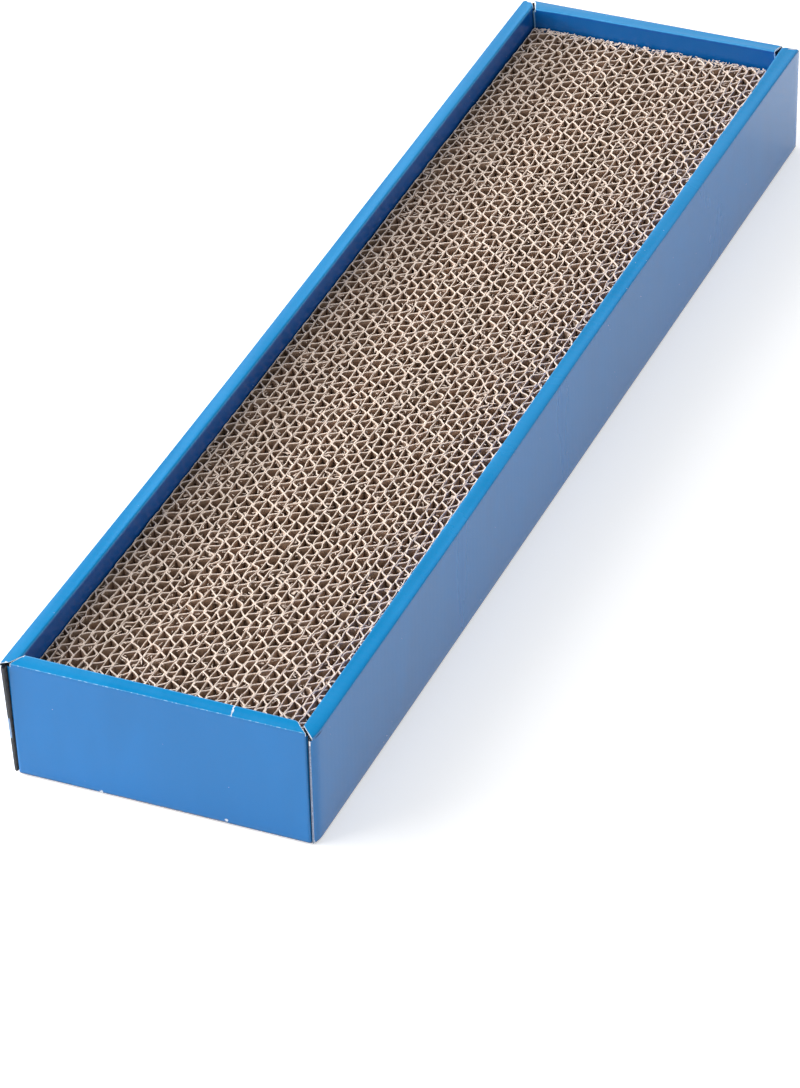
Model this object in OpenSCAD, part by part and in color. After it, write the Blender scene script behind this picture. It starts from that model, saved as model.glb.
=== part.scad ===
// Cardboard cat scratcher: a pad of corrugated board strips on edge, in a folded board tray
// with hollow roll-over walls and a flat mitred rim.
// Frame: X across, Y along, Z up. The origin is under the middle of the tray, on the floor.

/* [Corrugated board] */
// Thickness of a flat liner sheet
liner_t = 0.35; // [0.2:0.05:0.5]
// Thickness of a fluted sheet
flute_t = 0.3; // [0.15:0.05:0.5]
// Height of the low flutes, from liner to liner
low_flute_h = 3; // [2:0.1:5]
// Length of one wave of the low flutes
low_flute_pitch = 7.95; // [6:0.05:10]
// Height of the high flutes, from liner to liner
high_flute_h = 3.7; // [2.5:0.1:6]
// Length of one wave of the high flutes
high_flute_pitch = 8.6; // [6:0.1:12]

/* [Pad] */
// Number of board strips, side by side
strip_count = 14; // [6:1:24]
// Length of the strips
strip_l = 475; // [240:5:700]
// Height of the strips, which is the depth of the pad
strip_h = 38.5; // [20:0.5:60]

/* [Tray] */
// Thickness of the folded board
board_t = 1.5; // [0.8:0.1:2.5]
// Height of the rim above the pad
recess_h = 8.5; // [3:0.5:20]
// Hollow inside each end wall
end_hollow = 4; // [1:0.1:8]
// Length of the dust flaps
flap_l = 38; // [15:1:60]
// Height by which a dust flap is cut lower than its wall
flap_drop = 2; // [0.5:0.5:8]
// Radius on the outside of a crease
crease_r = 0.9; // [0.3:0.1:1.2]

/* [Lock tabs] */
// Number of lock tabs on each long inner wall
side_tab_count = 3; // [1:1:5]
// Number of lock tabs on each end inner wall
end_tab_count = 1; // [1:1:2]
// Width of a lock tab
tab_w = 28; // [10:1:40]
// Height by which a tab's tip stays above the floor
tab_lift = 0.3; // [0.1:0.1:0.7]

/* [Fits] */
// Play between the pad and each long wall
pad_side_play = 0.55; // [0.3:0.05:2]
// Play between the pad and each end wall
pad_end_play = 0.5; // [0.3:0.05:2]
// Play of a dust flap inside its long wall, seen as a slit at the corner
flap_play = 0.7; // [0.2:0.05:1.5]
// Play between an end inner wall and each long inner wall
corner_play = 0.4; // [0.1:0.05:1]
// Gap that each rim leaves at its mitres
mitre_play = 0.35; // [0.1:0.05:1]
// Play of a lock tab in its slot, on every side
slot_play = 0.3; // [0.1:0.05:0.8]

/* [Hidden] */
strip_t = 3 * liner_t + low_flute_h + high_flute_h;
pad_w = strip_count * strip_t;
inner_w = pad_w + 2 * pad_side_play;
inner_l = strip_l + 2 * pad_end_play;
// A long wall is hollow enough to hold a dust flap
side_hollow = board_t + flap_play;
side_rim_w = 2 * board_t + side_hollow;
end_rim_w = 2 * board_t + end_hollow;
tray_w = inner_w + 2 * side_rim_w;
tray_l = inner_l + 2 * end_rim_w;
tray_h = board_t + strip_h + recess_h;
wall_h = tray_h - board_t;
bottom_w = tray_w - 2 * board_t;
bottom_l = tray_l - 2 * board_t;
front_wall_w = bottom_w - 2 * flap_play;
side_inner_wall_l = inner_l + 2 * board_t;
end_inner_wall_w = inner_w - 2 * corner_play;
// A crease's radius stays under the board's thickness
most_crease_share = 0.8;
round_r = min(crease_r, most_crease_share * board_t);
// Every cut runs past its faces by this much
overrun = 1;
// Each strip's flutes start at another place, as glued-up board does
low_phase_share = 0.618;
high_phase_share = 0.382;
board_blue = [0.16, 0.45, 0.78];
inside_blue = [0.1, 0.3, 0.6];
kraft = [0.72, 0.6, 0.48];
$fn = 48;

function strip_name(k) = str("strip_", k < 9 ? "0" : "", k + 1);

// The middles of a row of lock tabs, spread evenly along a wall
function tab_places(count, length) = [for (i = [1 : count]) (i - (count + 1) / 2) * length / count];

// A bar along Y, centred there, with its outer side at x = 0 and creases rounded on the named corners
module creased_bar(width, height, length, round_bottom, round_top, round_inner) {
    rotate([90, 0, 0])
        linear_extrude(length, center = true)
            difference() {
                square([width, height]);
                if (round_bottom) crease_cut();
                if (round_top) translate([0, height]) mirror([0, 1]) crease_cut();
                if (round_inner) translate([width, height]) mirror([1, 0]) mirror([0, 1]) crease_cut();
            }
}

// What a crease takes off a square corner at the origin
module crease_cut() {
    difference() {
        translate([-overrun, -overrun]) square(round_r + overrun);
        translate([round_r, round_r]) circle(round_r);
    }
}

module bottom_panel() {
    color(inside_blue)
        difference() {
            translate([-bottom_w / 2, -bottom_l / 2, 0]) cube([bottom_w, bottom_l, board_t]);
            for (side = [-1, 1])
                for (y = tab_places(side_tab_count, inner_l))
                    translate([side * (inner_w + board_t) / 2, y, 0]) slot(board_t, tab_w);
            for (end = [-1, 1])
                for (x = tab_places(end_tab_count, inner_w))
                    translate([x, end * (inner_l + board_t) / 2, 0]) slot(tab_w, board_t);
        }
}

// The slot that a lock tab of the given size goes through
module slot(size_x, size_y) {
    slot_x = size_x + 2 * slot_play;
    slot_y = size_y + 2 * slot_play;
    translate([-slot_x / 2, -slot_y / 2, -overrun]) cube([slot_x, slot_y, board_t + 2 * overrun]);
}

// A long outer wall, on the left
module side_outer_wall() {
    color(board_blue)
        translate([-tray_w / 2, 0, 0])
            creased_bar(board_t, wall_h, tray_l, true, false, false);
}

// An end outer wall, at the front: it stands between the long walls' raw ends
module end_outer_wall() {
    color(board_blue)
        translate([0, -tray_l / 2, 0])
            rotate([0, 0, 90])
                creased_bar(board_t, wall_h, front_wall_w, true, false, false);
}

// The rim's outer and inner corners at the back right, which a mitre joins
outer_corner = [tray_w / 2, tray_l / 2];
inner_corner = [inner_w / 2, inner_l / 2];

module side_rim() {
    outer_end = outer_corner - [0, mitre_play];
    inner_end = inner_corner - [0, mitre_play];
    color(board_blue)
        translate([0, 0, wall_h])
            intersection() {
                translate([-tray_w / 2, 0, 0])
                    creased_bar(side_rim_w, board_t, tray_l, false, true, true);
                linear_extrude(board_t)
                    polygon([
                        [-outer_end.x, -outer_end.y],
                        [-inner_end.x, -inner_end.y],
                        [-inner_end.x, inner_end.y],
                        [-outer_end.x, outer_end.y]
                    ]);
            }
}

module end_rim() {
    outer_end = outer_corner - [mitre_play, 0];
    inner_end = inner_corner - [mitre_play, 0];
    color(board_blue)
        translate([0, 0, wall_h])
            intersection() {
                translate([0, -tray_l / 2, 0])
                    rotate([0, 0, 90])
                        creased_bar(end_rim_w, board_t, tray_w, false, true, true);
                linear_extrude(board_t)
                    polygon([
                        [-outer_end.x, -outer_end.y],
                        [outer_end.x, -outer_end.y],
                        [inner_end.x, -inner_end.y],
                        [-inner_end.x, -inner_end.y]
                    ]);
            }
}

module side_inner_wall() {
    color(inside_blue) {
        translate([-inner_w / 2 - board_t, -side_inner_wall_l / 2, board_t])
            cube([board_t, side_inner_wall_l, wall_h - board_t]);
        for (y = tab_places(side_tab_count, inner_l))
            translate([-inner_w / 2 - board_t, y - tab_w / 2, tab_lift])
                cube([board_t, tab_w, board_t]);
    }
}

module end_inner_wall() {
    color(inside_blue) {
        translate([-end_inner_wall_w / 2, -inner_l / 2 - board_t, board_t])
            cube([end_inner_wall_w, board_t, wall_h - board_t]);
        for (x = tab_places(end_tab_count, inner_w))
            translate([x - tab_w / 2, -inner_l / 2 - board_t, tab_lift])
                cube([tab_w, board_t, board_t]);
    }
}

// The dust flap at the front left: it stands on the bottom, against the long inner wall
module dust_flap() {
    color(board_blue)
        translate([-front_wall_w / 2, -bottom_l / 2, board_t])
            cube([board_t, flap_l, wall_h - board_t - flap_drop]);
}

// The open cells on both sides of one fluted sheet, between liner faces at x and x + height.
// A crest's middle lies on the liner's face, so a cell is a triangle with its base on a liner.
module flute_cells(x, height, pitch, shift) {
    slope = 2 * height / pitch;
    half_sheet = flute_t / 2 * sqrt(1 + slope * slope);
    cell_h = height - half_sheet;
    half_base = cell_h / slope;
    first = floor((-strip_l / 2 - shift) / pitch) - 1;
    last = ceil((strip_l / 2 - shift) / pitch) + 1;
    for (i = [first : last]) {
        low = shift + i * pitch;
        high = low + pitch / 2;
        if (abs(low) < strip_l / 2 + half_base)
            polygon([[x, low - half_base], [x + cell_h, low], [x, low + half_base]]);
        if (abs(high) < strip_l / 2 + half_base)
            polygon([[x + height, high - half_base], [x + height, high + half_base], [x + half_sheet, high]]);
    }
}

// One strip of double-wall board on edge: liner, low flute, liner, high flute, liner
module board_strip(k) {
    color(kraft)
        translate([-pad_w / 2 + k * strip_t, 0, board_t])
            linear_extrude(strip_h)
                difference() {
                    translate([0, -strip_l / 2]) square([strip_t, strip_l]);
                    flute_cells(liner_t, low_flute_h, low_flute_pitch, k * low_phase_share * low_flute_pitch);
                    flute_cells(2 * liner_t + low_flute_h, high_flute_h, high_flute_pitch,
                        k * high_phase_share * high_flute_pitch);
                }
}

bottom_panel();
side_outer_wall();  // left_outer_wall
mirror([1, 0, 0]) side_outer_wall();  // right_outer_wall
end_outer_wall();  // front_outer_wall
mirror([0, 1, 0]) end_outer_wall();  // back_outer_wall
side_rim();  // left_rim
mirror([1, 0, 0]) side_rim();  // right_rim
end_rim();  // front_rim
mirror([0, 1, 0]) end_rim();  // back_rim
side_inner_wall();  // left_inner_wall
mirror([1, 0, 0]) side_inner_wall();  // right_inner_wall
end_inner_wall();  // front_inner_wall
mirror([0, 1, 0]) end_inner_wall();  // back_inner_wall
dust_flap();  // front_left_flap
mirror([1, 0, 0]) dust_flap();  // front_right_flap
mirror([0, 1, 0]) dust_flap();  // back_left_flap
mirror([1, 0, 0]) mirror([0, 1, 0]) dust_flap();  // back_right_flap
for (k = [0 : strip_count - 1])
    board_strip(k);
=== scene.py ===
import math
import bpy
import numpy as np
from mathutils import Matrix, Vector


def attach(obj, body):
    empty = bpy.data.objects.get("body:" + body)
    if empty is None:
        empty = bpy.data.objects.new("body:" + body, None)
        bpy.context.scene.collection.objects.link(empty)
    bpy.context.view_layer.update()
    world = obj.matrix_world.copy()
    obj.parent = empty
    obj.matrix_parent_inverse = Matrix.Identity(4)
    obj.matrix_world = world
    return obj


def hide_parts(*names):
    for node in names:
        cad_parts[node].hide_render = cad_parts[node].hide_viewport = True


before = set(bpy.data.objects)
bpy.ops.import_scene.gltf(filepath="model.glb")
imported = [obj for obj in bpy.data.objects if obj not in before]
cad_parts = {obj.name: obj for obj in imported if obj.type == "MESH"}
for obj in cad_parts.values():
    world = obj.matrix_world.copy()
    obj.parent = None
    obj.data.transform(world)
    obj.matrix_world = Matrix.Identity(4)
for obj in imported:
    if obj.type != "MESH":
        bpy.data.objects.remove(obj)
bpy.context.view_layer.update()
print("frame loaded:", len(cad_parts), "nodes")

mm = 0.001  # shapes are worked out in millimetres and stored in metres

cameraView = {
    "azimuth": 25.46, "elevation": 36.224, "roll": -3.22,  # degrees
    "aside": 0.01344, "below": -0.0420, "away": 2.16084,  # metres, from the camera to the origin
    "lens": 183.31, "sensor": 36.0, "nearest": 0.05, "farthest": 60.0,
}


# The camera stands back from the origin along azimuth and elevation, turned by roll.
def addCamera(view):
    a, e, r = (math.radians(view[k]) for k in ("azimuth", "elevation", "roll"))
    back = Vector((math.sin(a) * math.cos(e), -math.cos(a) * math.cos(e), math.sin(e)))
    level = Vector((math.cos(a), math.sin(a), 0))
    upward = back.cross(level)
    rightward = math.cos(r) * level + math.sin(r) * upward
    downward = math.sin(r) * level - math.cos(r) * upward
    place = -(rightward * view["aside"] + downward * view["below"] - back * view["away"])
    data = bpy.data.cameras.new("photoCamera")
    data.lens, data.sensor_width = view["lens"], view["sensor"]
    data.clip_start, data.clip_end = view["nearest"], view["farthest"]
    camera = bpy.data.objects.new("photoCamera", data)
    bpy.context.scene.collection.objects.link(camera)
    turn = Matrix((rightward, -downward, back)).transposed().to_4x4()
    camera.matrix_world = Matrix.Translation(place) @ turn
    bpy.context.scene.camera = camera


addCamera(cameraView)
bpy.context.scene.view_settings.view_transform = "Standard"
print("camera placed")


# A socket that takes part in Python arithmetic: each step adds a Math node.
class Sum:
    def __init__(self, finish, socket):
        self.finish, self.socket = finish, socket

    def step(self, operation, *inputs):
        return self.finish.get("Math", {"operation": operation}, dict(enumerate(inputs)))

    def __add__(self, other):
        return self.step("ADD", self, other)

    def __radd__(self, other):
        return self.step("ADD", other, self)

    def __sub__(self, other):
        return self.step("SUBTRACT", self, other)

    def __rsub__(self, other):
        return self.step("SUBTRACT", other, self)

    def __mul__(self, other):
        return self.step("MULTIPLY", self, other)

    def __rmul__(self, other):
        return self.step("MULTIPLY", other, self)

    def __abs__(self):
        return self.step("ABSOLUTE", self)

    def least(self, other):
        return self.step("MINIMUM", self, other)

    def most(self, other):
        return self.step("MAXIMUM", self, other)

    def sine(self):
        return self.step("SINE", self)


# The nodes of one material, or of the world: node() makes each.
class Finish:
    def __init__(self, holder):
        holder.use_nodes = True
        self.holder, self.tree = holder, holder.node_tree
        self.tree.nodes.clear()

    def node(self, kind, settings=None, inputs=None):
        made = self.tree.nodes.new("ShaderNode" + kind)
        for key, value in (settings or {}).items():
            if key == "stops":
                ramp = made.color_ramp
                while len(ramp.elements) < len(value):
                    ramp.elements.new(1.0)
                for element, (at, level) in zip(ramp.elements, value):
                    element.position, element.color = at, (level, level, level, 1.0)
            else:
                setattr(made, key, value)
        for key, value in (inputs or {}).items():
            if isinstance(value, Sum):
                self.tree.links.new(value.socket, made.inputs[key])
            elif isinstance(value, tuple) and made.inputs[key].type == "RGBA":
                made.inputs[key].default_value = (*value, 1.0)
            else:
                made.inputs[key].default_value = value
        return made

    def get(self, kind, settings=None, inputs=None, output=0):
        return Sum(self, self.node(kind, settings, inputs).outputs[output])

    def place(self):
        return self.get("TexCoord", output="Object")

    def attribute(self, name):
        return self.get("Attribute", {"attribute_name": name}, output="Fac")

    def stretched(self, scale):
        return self.get("Mapping", {}, {"Vector": self.place(), "Scale": scale})

    # noise from 0 to 1 whose lumps are about size metres across
    def noise(self, where, size, detail=3.0, rough=0.5, twist=0.0):
        return self.get("TexNoise", {}, {
            "Vector": where, "Scale": 1.0 / size, "Detail": detail, "Roughness": rough, "Distortion": twist})

    # goes smoothly from start to end while value goes from low to high
    def fade(self, value, low, high, start=0.0, end=1.0):
        return self.get("MapRange", {"interpolation_type": "SMOOTHSTEP"}, {
            "Value": value, "From Min": low, "From Max": high, "To Min": start, "To Max": end})

    def mix(self, first, second, share):
        return self.get("Mix", {"data_type": "RGBA"}, {0: share, 6: first, 7: second}, output=2)

    def axes(self, where=None):
        parts = self.node("SeparateXYZ", {}, {"Vector": where or self.place()})
        return [Sum(self, parts.outputs[i]) for i in range(3)]

    def bump(self, height, strength, distance, normal=None):
        inputs = {"Height": height, "Strength": strength, "Distance": distance}
        if normal:
            inputs["Normal"] = normal
        return self.get("Bump", {}, inputs)

    def surface(self, **inputs):
        shader = self.get("BsdfPrincipled", {}, {k.replace("_", " "): v for k, v in inputs.items()})
        self.node("OutputMaterial", {}, {"Surface": shader})
        return self.holder


def newFinish(name):
    return Finish(bpy.data.materials.new(name))


# In metres. A pair tells where a change starts and is complete, as a length or a noise level, and a noise
# is its size, detail, roughness and distortion.
# spots: (x, y, z, radius) of chips, where the paper's white shows through the ink.
# tones: lit and shaded copies of one ink, not a real difference in the print: the rims' is painted lighter
# and greener, the inner walls' (inside) is painted shade
inkLook = {
    "tones": {"wall": ((0.004, 0.191, 0.540), (0.006, 0.209, 0.591)),
              "rim": ((0.003, 0.257, 0.597), (0.006, 0.284, 0.645)),
              "inside": ((0.003, 0.097, 0.385), (0.005, 0.109, 0.420))},
    # deep: a darker blue, for random mottling and for painted shade along the rims' outer fold
    # rub: the pale blue of rubbed creases, also used to paint their highlight
    "backInsidePaintedLight": (0.003, 0.126, 0.420), "deep": (0.002, 0.12, 0.40), "rub": (0.10, 0.42, 0.80),
    "dash": (0.36, 0.68, 0.92), "worn": (0.84, 0.90, 0.95), "footDark": (0.02, 0.055, 0.14),
    "brown": (0.33, 0.24, 0.17),
    "noises": {"cloud": (0.045, 3.0, 0.6, 0.4), "fine": (0.0012, 4.0, 0.6), "grain": (0.00035, 2.0, 0.5),
               "nib": (0.0008, 2.0, 0.6), "dash": (0.0021, 2.0, 0.6), "speck": (0.0016, 1.0, 0.5)},
    "squash": 0.35, "cloudy": (0.3, 0.7), "mottled": (0.55, 0.8), "mottle": 0.14,
    "specks": (0.81, 0.84), "speck": 0.6,
    "rim": {"fold": (0.0, 0.0022), "shade": 0.24, "worn": (0.5, 0.8), "side": (-0.00030, -0.00005),
            "innerFace": (0.50, 0.88), "innerFrom": (0.002, 0.003), "end": (0.00012, 0.00030), "bare": 0.9,
            "line": (0.0003, 0.0007), "ragged": 0.0005, "rub": 0.2, "rubWorn": 0.6},
    "inner": {"back": (0.2370, 0.2375), "end": (0.0003, 0.0008), "bare": 0.8},
    "crease": {"reach": (0.00005, 0.00022), "ragged": 0.0003, "dashes": (0.50, 0.58), "worn": (0.45, 0.75),
               "uneven": 0.3, "rub": 0.1, "rubWorn": 0.45},
    "crack": {"x": 0.02825, "middle": 0.003, "slant": 0.20, "ragged": 0.0013, "width": (0.000128, 0.00032),
              "front": (-0.2367, -0.2362), "from": (-0.0004, 0.0001), "to": (0.0062, 0.0066)},
    "chips": {"ragged": 0.0014, "grain": 0.0006, "edge": (-0.0001, 0.0002)}, "endRagged": 0.0003,
    "foot": {"reach": (0.0003, 0.0011), "ragged": 0.0006, "share": 0.85},
    "scuff": {"front": (-0.2435, -0.2430), "broken": (0.42, 0.55),
              "from": (-0.0206, -0.0186), "to": (0.0240, 0.0260)},
    "washboard": {"pitch": 0.0034, "height": 0.5, "cloud": 6.0, "bump": (0.10, 0.0001)},
    "relief": {"grain": 0.4, "fine": 0.6, "bare": 0.8, "bump": (0.12, 0.0002)},
    "rough": (0.20, 0.28), "roughFrom": (0.3, 0.75), "roughBare": 0.4, "refraction": 1.5,
    "spots": ((-0.0598, -0.2431, 0.0483, 0.0006), (-0.0588, -0.2435, 0.0481, 0.0007),
              (-0.0556, -0.2376, 0.0484, 0.0004), (0.0597, -0.2449, 0.0465, 0.0005),
              (-0.0249, -0.2452, 0.0005, 0.0007), (0.0248, -0.2453, 0.0015, 0.0005),
              (0.0588, -0.2452, 0.0010, 0.0008)),
}


# Blue ink on coated board: a cloudy tone in lit and shaded copies by part (painted light and shade), pale
# dashes where the creases have cracked it, chips, a rubbed crease with a painted highlight, a foot darker
# along its bottom edge, and a faint washboard of the sheet in the relief.
def printedInk(look, part):
    f = newFinish(part + "Ink")
    tones, noises, rim, inner, fold, crack, chips, foot, scuff, wash, relief = (look[name] for name in (
        "tones", "noises", "rim", "inner", "crease", "crack", "chips", "foot", "scuff", "washboard",
        "relief"))
    place = f.place()
    x, y, z = f.axes(place)
    across, along, wear, toEnd, toFold, layer = (
        f.attribute(name) for name in ("across", "along", "wear", "toEnd", "toFold", "layer"))
    cloud = f.noise(f.stretched((1, 1, look["squash"])), *noises["cloud"])
    fine = f.noise(place, *noises["fine"])
    grain = f.noise(place, *noises["grain"])
    nib = f.noise(place, *noises["nib"])
    sheet = f.get("CombineXYZ", {}, {0: along, 1: across * look["squash"]})
    dash = f.noise(sheet, *noises["dash"])
    ragged, uneven = nib - 0.5, fine - 0.5
    ink = f.mix(*tones[part], f.fade(cloud, *look["cloudy"]))
    if part == "rim":  # its sides have the tones of the walls, its outer fold has painted shade where it isn't worn, and its inner face takes the inside tone, which is painted shade
        shade = f.fade(across, *rim["fold"], rim["shade"], 0.0) * f.fade(wear, *rim["worn"], 1.0, 0.0)
        ink = f.mix(ink, look["deep"], shade)
        ink = f.mix(tones["wall"][0], ink, f.fade(across, *rim["side"]))
        inward = f.fade(layer, *rim["innerFace"], 1.0, 0.0) * f.fade(across, *rim["innerFrom"])
        ink = f.mix(ink, tones["inside"][1], inward)
    ink = f.mix(ink, look["deep"], f.fade(fine, *look["mottled"], 0.0, look["mottle"]))
    # the outer crease: rubbed where worn and a painted highlight all along, cracked in dashes
    crease = f.fade(abs(across + ragged * fold["ragged"]), *fold["reach"], 1.0, 0.0)
    dashes = (crease * f.fade(dash + ragged * fold["uneven"], *fold["dashes"])
              * f.fade(wear + uneven * fold["uneven"], *fold["worn"]))
    # the crack over the front rim
    slant = x - crack["x"] + (across - crack["middle"]) * crack["slant"] + ragged * crack["ragged"]
    bare = (f.fade(abs(slant), *crack["width"], 1.0, 0.0) * f.fade(y, *crack["front"], 1.0, 0.0)
            * f.fade(across, *crack["from"]) * f.fade(across, *crack["to"], 1.0, 0.0))
    # chips at the spots: the least distance to any of them, with a ragged outline
    near = None
    for sx, sy, sz, radius in look["spots"]:
        away = f.get("VectorMath", {"operation": "DISTANCE"}, {0: place, 1: (sx, sy, sz)}, "Value") - radius
        near = away if near is None else near.least(away)
    outline = near + ragged * chips["ragged"] + (grain - 0.5) * chips["grain"]
    bare = bare.most(f.fade(outline, *chips["edge"], 1.0, 0.0))
    specks = f.fade(f.noise(place, *noises["speck"]), *look["specks"])
    bare = bare.most(specks * look["speck"])
    # the rims' cut ends have lost their ink, the inner walls' ends are paler, a painted highlight, and the
    # rims' inner fold is paler, rubbed where worn and a painted highlight all along
    frayed = toEnd + ragged * look["endRagged"]
    if part == "rim":
        bare = bare.most(f.fade(frayed, *rim["end"], rim["bare"], 0.0))
        # the inner fold's pale line: rim rub share is a painted highlight, rubWorn share is wear
        line = f.fade(toFold + (dash - 0.5) * rim["ragged"], *rim["line"], 1.0, 0.0)
        ink = f.mix(ink, look["rub"], line * (wear * rim["rubWorn"] + rim["rub"]))
    if part == "inside":
        # the back inner wall takes a lighter copy of the inside ink: painted light
        ink = f.mix(ink, look["backInsidePaintedLight"], f.fade(y, *inner["back"]))
        # painted highlight on the inner walls' rounded ends
        ink = f.mix(ink, look["dash"], f.fade(frayed, *inner["end"], inner["bare"], 0.0))
    # the crease's rub share is a painted highlight, its rubWorn share is wear
    ink = f.mix(ink, look["rub"], crease * (wear * fold["rubWorn"] + fold["rub"]))
    ink = f.mix(ink, look["dash"], dashes)
    # the foot: darker along its bottom edge, and brown scuffs at the front
    nearFoot = f.fade(z + uneven * foot["ragged"], *foot["reach"], 1.0, 0.0)
    colour = f.mix(f.mix(ink, look["footDark"], nearFoot * foot["share"]), look["worn"], bare)
    scuffed = (nearFoot * f.fade(y, *scuff["front"], 1.0, 0.0) * f.fade(nib, *scuff["broken"])
               * f.fade(x, *scuff["from"]) * f.fade(x, *scuff["to"], 1.0, 0.0))
    colour = f.mix(colour, look["brown"], scuffed * foot["share"])
    ripple = (along * (2 * math.pi / wash["pitch"])).sine()
    normal = f.bump(ripple * wash["height"] + cloud * wash["cloud"], *wash["bump"])
    height = grain * relief["grain"] + fine * relief["fine"] - bare * relief["bare"]
    normal = f.bump(height, *relief["bump"], normal)
    rough = f.fade(cloud, *look["roughFrom"], *look["rough"]) + bare * look["roughBare"]
    return f.surface(Base_Color=colour, Roughness=rough, Normal=normal, IOR=look["refraction"])


rawLook = {
    # tone: darker than plain grey board, partly painted shade so the narrow gaps where this board shows read
    # dark
    "tone": (0.130, 0.122, 0.115), "dark": (0.075, 0.070, 0.066), "pale": (0.20, 0.19, 0.18),
    "slit": (0.010, 0.014, 0.028), "slitFrom": (0.0464, 0.0468),
    "stretch": (1, 0.25, 1), "fibre": (0.0016, 4.0, 0.65, 0.3), "fibres": (0.3, 0.6),
    "cloud": (0.012, 3.0, 0.5), "clouds": (0.45, 0.8), "cloudPale": 0.5, "cloudHeight": 0.5,
    "rough": (0.9, 0.78), "roughFrom": (0.3, 0.7), "shine": 0.25, "bump": (0.25, 0.0003),
}


# Unprinted grey board: fibres stretched along the sheet over a soft cloud, and painted shade, near black,
# high up in the rims' slits.
def rawBoard(look):
    f = newFinish("greyBoard")
    fibre = f.noise(f.stretched(look["stretch"]), *look["fibre"])
    cloud = f.noise(f.place(), *look["cloud"])
    colour = f.mix(look["dark"], look["tone"], f.fade(fibre, *look["fibres"]))
    colour = f.mix(colour, look["pale"], f.fade(cloud, *look["clouds"], 0.0, look["cloudPale"]))
    colour = f.mix(colour, look["slit"], f.fade(f.axes()[2], *look["slitFrom"]))
    return f.surface(Base_Color=colour, Roughness=f.fade(fibre, *look["roughFrom"], *look["rough"]),
                     Normal=f.bump(fibre + cloud * look["cloudHeight"], *look["bump"]),
                     Specular_IOR_Level=look["shine"])


# layers count from 0 at the printed face to 1 at the raw one, for the walls; tip and corner are zones
cutLook = {
    "core": (0.22, 0.25, 0.34), "liner": (0.41, 0.50, 0.68), "rimLiner": (0.78, 0.84, 0.92),
    "open": (0.010, 0.014, 0.030), "tipTone": (0.95, 0.95, 0.97),
    "grey": (0.115, 0.115, 0.12), "greyDark": (0.06, 0.06, 0.065), "dentTone": (0.33, 0.47, 0.70),
    "fibre": (0.0007, 4.0, 0.7), "liners": (0.26, 0.36), "fibres": (0.45, 0.62), "rimFrom": (0.0466, 0.0469),
    "openTo": (0.64, 0.80), "openRagged": 0.3,
    "tip": {"height": 0.0458, "reach": (0.0008, 0.0013), "x": (0.0580, 0.0585), "y": (-0.24, -0.2395)},
    "corner": {"x": (-0.0585, -0.0580), "y": (-0.2425, -0.2420), "z": (0.0472, 0.0476),
               "fibres": (0.4, 0.65), "dark": 0.7},
    "dent": {"noise": (0.003, 2.0, 0.5), "ragged": 0.0016, "from": (0.0150, 0.0155),
             "to": (0.0240, 0.0245), "layers": (0.75, 0.95), "least": 0.15},
    "rough": 0.9, "shine": 0.2, "bump": (0.4, 0.0003),
}


# The cut edge of the printed board: two pale liners and a greyer core. The near end of the left wall is
# a grey, unbleached edge painted dark, partly as painted shade of the gap beside it, with a dent where the
# printed liner is pushed over it.
def cutEdge(look):
    f = newFinish("cutEdge")
    tip, corner, dent = look["tip"], look["corner"], look["dent"]
    place = f.place()
    x, y, z = f.axes(place)
    layer = f.attribute("layer")
    fibre = f.noise(place, *look["fibre"])
    outside = f.fade(abs(layer - 0.5), *look["liners"]).most(f.fade(fibre, *look["fibres"]))
    colour = f.mix(look["core"], look["liner"], outside)
    high = f.fade(z, *look["rimFrom"])
    colour = f.mix(colour, look["rimLiner"], high)
    # below the top liner the rims' cut ends are near black: painted shade in the open flutes
    below = f.fade(layer + (fibre - 0.5) * look["openRagged"], *look["openTo"], 1.0, 0.0)
    colour = f.mix(colour, look["open"], high * below)
    atTip = (f.fade(abs(z - tip["height"]), *tip["reach"], 1.0, 0.0) * f.fade(x, *tip["x"])
             * f.fade(y, *tip["y"], 1.0, 0.0))
    colour = f.mix(colour, look["tipTone"], atTip)
    # the left wall's near end: grey board, darkened as painted shade of the gap beside it
    atCorner = (f.fade(x, *corner["x"], 1.0, 0.0) * f.fade(y, *corner["y"], 1.0, 0.0)
                * f.fade(z, *corner["z"], 1.0, 0.0))
    grey = f.mix(look["grey"], look["greyDark"], f.fade(fibre, *corner["fibres"], 0.0, corner["dark"]))
    colour = f.mix(colour, grey, atCorner)
    height = z + (f.noise(place, *dent["noise"]) - 0.5) * dent["ragged"]
    dented = atCorner * f.fade(height, *dent["from"]) * f.fade(height, *dent["to"], 1.0, 0.0)
    colour = f.mix(colour, look["dentTone"], dented * f.fade(layer, *dent["layers"], 1.0, dent["least"]))
    return f.surface(Base_Color=colour, Roughness=look["rough"], Normal=f.bump(fibre, *look["bump"]),
                     Specular_IOR_Level=look["shine"])


padLook = {
    "wall": (0.490, 0.345, 0.255), "shade": (0.360, 0.252, 0.180), "edge": (0.915, 0.776, 0.674),
    "fuzz": (0.0, 0.00050), "ragged": 0.0006, "flute": 0.00795, "stretch": (1, 1, 0.3),
    "fibre": (0.0011, 4.0, 0.65, 0.4), "spot": (0.0005, 3.0, 0.6), "fibres": (0.32, 0.72),
    "tint": 0.25, "line": 0.03, "spotHeight": 0.6, "lineHeight": 0.2,
    "rough": (0.92, 0.8), "roughFrom": (0.3, 0.7), "shine": 0.2, "bump": (0.35, 0.0003),
}


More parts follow.
